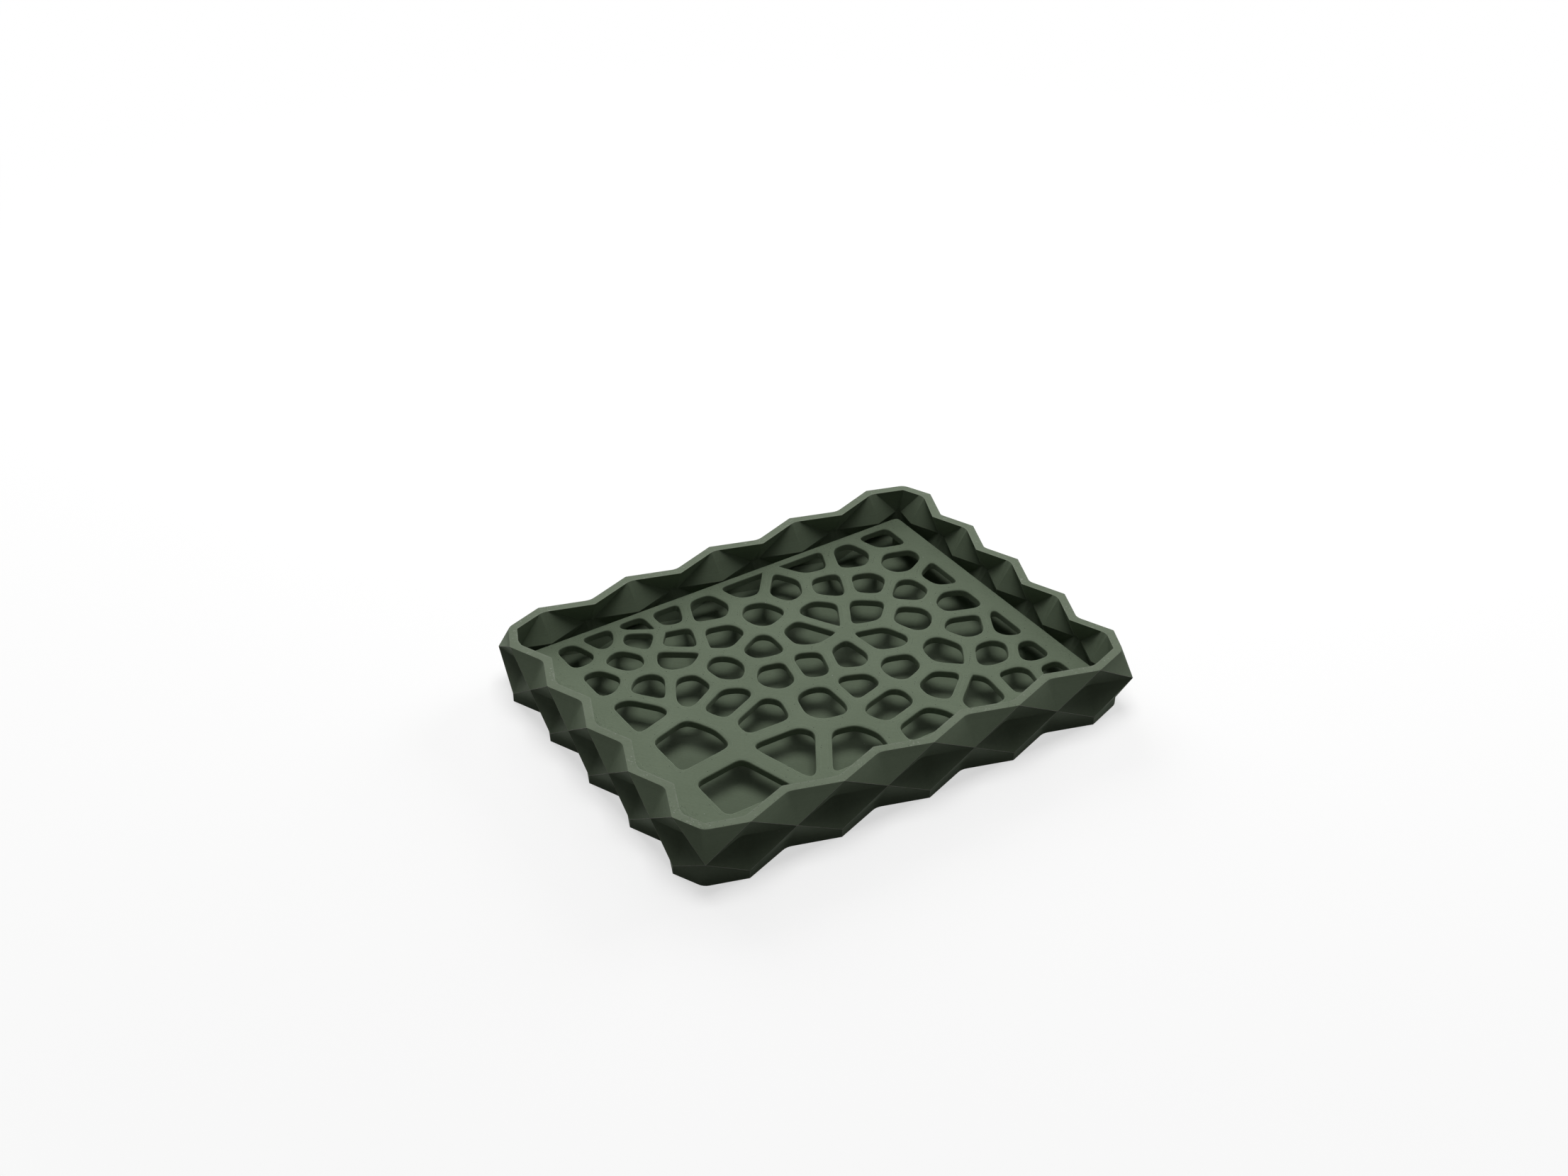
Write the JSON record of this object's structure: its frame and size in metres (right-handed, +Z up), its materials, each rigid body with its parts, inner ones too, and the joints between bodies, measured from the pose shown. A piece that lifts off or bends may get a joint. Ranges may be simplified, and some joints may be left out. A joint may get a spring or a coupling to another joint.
{
  "type": "soap dish",
  "caption": "Low rectangular soap dish with a wall folded into triangular facets, a solid floor and a loose drain grid of irregular rounded holes that lifts out.",
  "frame": {"origin": "centre of the foot, on the surface that the dish stands on", "axes": "+X along the long sides, +Y towards the back, +Z up"},
  "size_m": [0.1322, 0.0988, 0.0172],
  "materials": {
    "tray": "matte olive green, printed in fine layers",
    "drain_grid": "matte olive green, printed lines round the holes"
  },
  "bodies": {
    "tray": {"tray": "tray"},
    "drain_grid": {"drain_grid": "drain_grid"}
  },
  "joints": [
    {"name": "grid_lift", "type": "slide", "parent": "tray", "child": "drain_grid", "axis": [0, 0, 1], "range_m": [0, 0.04]}
  ]
}
